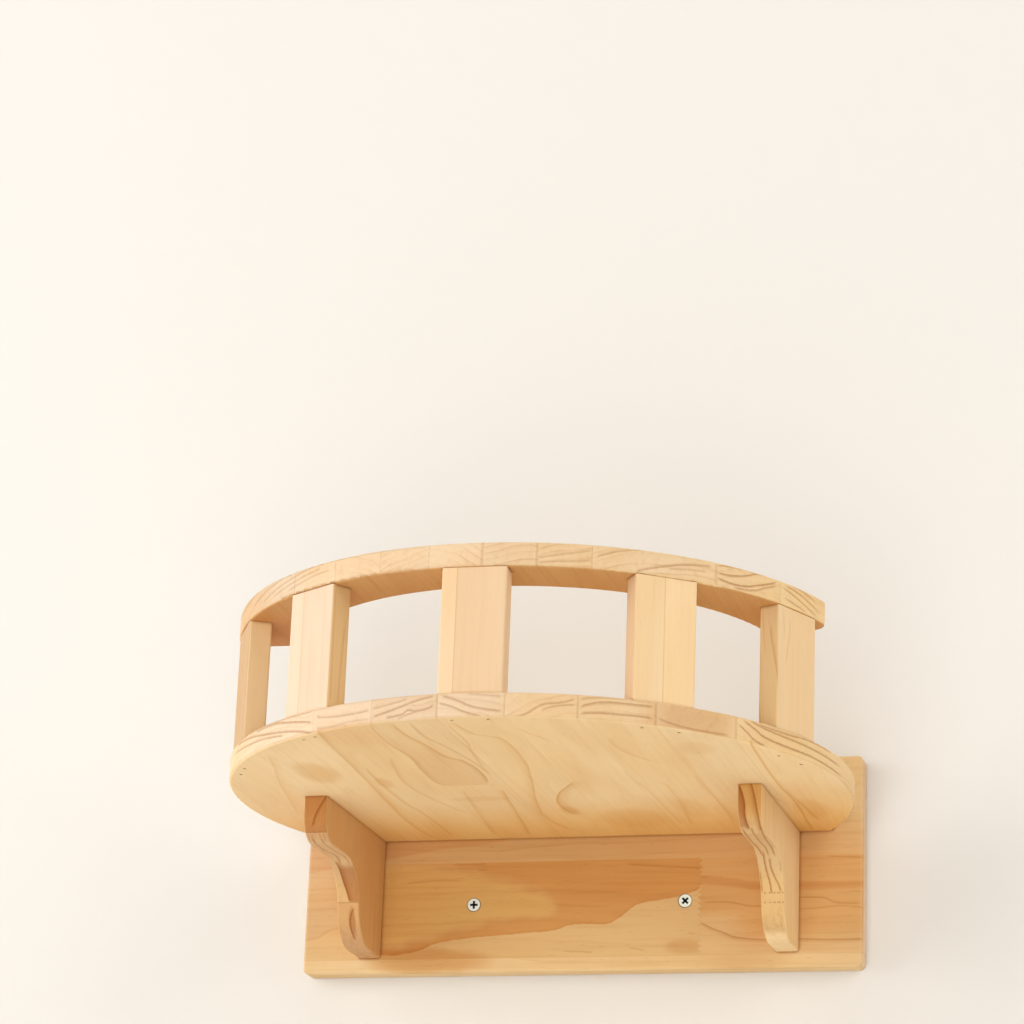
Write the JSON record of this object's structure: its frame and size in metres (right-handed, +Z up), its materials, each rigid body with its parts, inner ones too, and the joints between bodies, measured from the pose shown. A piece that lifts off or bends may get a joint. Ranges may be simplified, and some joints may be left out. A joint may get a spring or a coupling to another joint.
{
  "type": "cat climbing wall",
  "caption": "Wall-mounted pine perch for a cat: a round platform on ogee brackets, with a curved rail on flat balusters and a back board that is screwed to the wall.",
  "frame": {"origin": "on the wall's plane at the back board's back face, midway between the two wall screws", "axes": "+X to the right along the wall as seen from the room, +Y into the wall, +Z up; the platform stands out along -Y"},
  "size_m": [0.42, 0.3702, 0.209],
  "materials": {
    "board_pine": "clear satin varnish on edge-glued pine",
    "platform_pine": "clear satin varnish on edge-glued pine",
    "rail_pine": "clear satin varnish on edge-glued pine",
    "baluster_pine": "clear satin varnish on solid pine",
    "bracket_pine": "clear satin varnish on edge-glued pine",
    "zinc_steel": "bright zinc plate",
    "brad_steel": "plain drawn steel"
  },
  "bodies": {
    "root": {"back_board": "board_pine", "platform": "platform_pine", "top_rail": "rail_pine", "baluster_1": "baluster_pine", "baluster_2": "baluster_pine", "baluster_3": "baluster_pine", "baluster_4": "baluster_pine", "baluster_5": "baluster_pine", "bracket_left": "bracket_pine", "bracket_right": "bracket_pine", "wall_screw_left": "zinc_steel", "wall_screw_right": "zinc_steel", "platform_screw_left": "zinc_steel", "platform_screw_middle": "zinc_steel", "platform_screw_right": "zinc_steel", "bracket_back_screws_left": "zinc_steel", "bracket_back_screws_right": "zinc_steel", "bracket_top_screws_left": "zinc_steel", "bracket_top_screws_right": "zinc_steel", "foot_brads_1": "brad_steel", "foot_brads_2": "brad_steel", "foot_brads_3": "brad_steel", "foot_brads_4": "brad_steel", "foot_brads_5": "brad_steel", "rail_brads_1": "brad_steel", "rail_brads_2": "brad_steel", "rail_brads_3": "brad_steel", "rail_brads_4": "brad_steel", "rail_brads_5": "brad_steel"}
  },
  "joints": []
}
